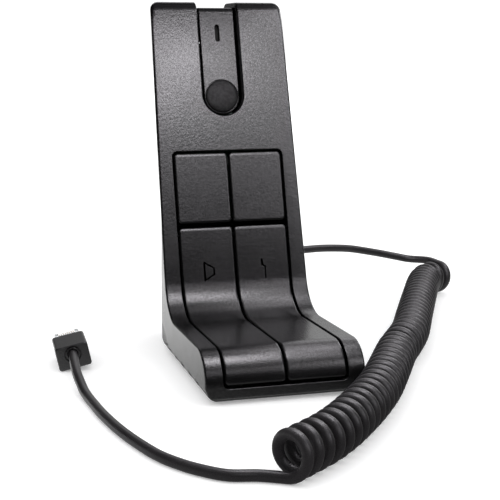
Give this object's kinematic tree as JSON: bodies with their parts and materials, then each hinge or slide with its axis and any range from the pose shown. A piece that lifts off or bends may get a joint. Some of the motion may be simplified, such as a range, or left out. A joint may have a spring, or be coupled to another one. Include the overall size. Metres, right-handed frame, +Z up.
{
  "type": "desktop microphone",
  "caption": "Desktop two-way-radio microphone: leaning column on a flat foot, press levers and column buttons, recessed microphone panel, coiled cord with modular plug.",
  "frame": {"origin": "on the desk plane, on the housing's symmetry plane, at the centre of the foot pad (the desk_rest mount), 65 mm behind the nose", "axes": "+X to the user's right, +Y from the nose towards the back of the column, +Z up"},
  "size_m": [0.2435, 0.2928, 0.166],
  "materials": {
    "housing": "fine-textured black ABS",
    "keys": "fine-textured black ABS, slightly smoother than the housing",
    "mic_panel": "fine-textured black ABS",
    "badge": "plain domed black disc",
    "rubber": "moulded black rubber",
    "feet": "matt black foot pad",
    "cord": "satin black polyurethane jacket",
    "clear_plug": "clear polycarbonate",
    "contacts": "gold-plated blades",
    "steel": "bright zinc-plated steel",
    "base_plate": "black moulded base pan, same ABS as the housing",
    "ballast": "plain ground steel block",
    "board": "green solder-masked circuit board",
    "switch": "black switch body",
    "connector": "off-white connector",
    "screen": "black felt screen",
    "capsule": "plain aluminium can"
  },
  "bodies": {
    "housing": {"front_housing": "housing", "rear_housing": "housing", "base_plate": "base_plate", "ballast_weight": "ballast", "base_screw_1": "steel", "base_screw_2": "steel", "base_screw_3": "steel", "base_screw_4": "steel", "foot_pad": "feet", "lever_pin": "steel", "lever_board": "board", "board_screw_1": "steel", "board_screw_2": "steel", "monitor_switch": "switch", "ptt_switch": "switch", "monitor_spring": "steel", "ptt_spring": "steel", "main_board": "board", "upper_left_switch": "switch", "upper_right_switch": "switch", "cord_header": "connector", "mic_panel": "mic_panel", "badge_disc": "badge", "mic_screen": "screen", "mic_capsule": "capsule", "mic_holder": "rubber", "strain_relief": "rubber", "coil_cord": "cord", "plug_boot": "rubber", "modular_plug": "clear_plug", "contact_1": "contacts", "contact_2": "contacts", "contact_3": "contacts", "contact_4": "contacts", "contact_5": "contacts", "contact_6": "contacts", "contact_7": "contacts", "contact_8": "contacts"},
    "ptt_lever": {"ptt_lever": "keys"},
    "monitor_lever": {"monitor_lever": "keys"},
    "ptt_plunger": {"ptt_plunger": "switch"},
    "monitor_plunger": {"monitor_plunger": "switch"},
    "upper_left_button": {"upper_left_button": "keys", "upper_left_plunger": "switch"},
    "upper_right_button": {"upper_right_button": "keys", "upper_right_plunger": "switch"},
    "plug_latch": {"plug_latch": "clear_plug"}
  },
  "joints": [
    {"name": "ptt_press", "type": "hinge", "parent": "housing", "child": "ptt_lever", "pos_m": [0.0134, 0.02784, 0.05529], "axis": [1, 0, 0], "range_deg": [0, 0.8], "deforming": ["ptt_spring"]},
    {"name": "monitor_press", "type": "hinge", "parent": "housing", "child": "monitor_lever", "pos_m": [-0.0134, 0.02784, 0.05529], "axis": [1, 0, 0], "range_deg": [0, 0.8], "deforming": ["monitor_spring"]},
    {"name": "ptt_plunger_slide", "type": "slide", "parent": "housing", "child": "ptt_plunger", "axis": [0, 0, -1], "range_m": [0, 0.0008]},
    {"name": "monitor_plunger_slide", "type": "slide", "parent": "housing", "child": "monitor_plunger", "axis": [0, 0, -1], "range_m": [0, 0.0008]},
    {"name": "upper_left_press", "type": "slide", "parent": "housing", "child": "upper_left_button", "axis": [0, 0.9613, -0.2756], "range_m": [0, 0.0008]},
    {"name": "upper_right_press", "type": "slide", "parent": "housing", "child": "upper_right_button", "axis": [0, 0.9613, -0.2756], "range_m": [0, 0.0008]},
    {"name": "latch_flex", "type": "hinge", "parent": "housing", "child": "plug_latch", "pos_m": [-0.07755, 0.03922, 0.0025], "axis": [-0.9772, 0.044, -0.2079], "range_deg": [0, 6]}
  ],
  "couplings": [
    {"joint": "ptt_plunger_slide", "follows": "ptt_press", "m_per_rad": 0.04884},
    {"joint": "monitor_plunger_slide", "follows": "monitor_press", "m_per_rad": 0.04884}
  ]
}
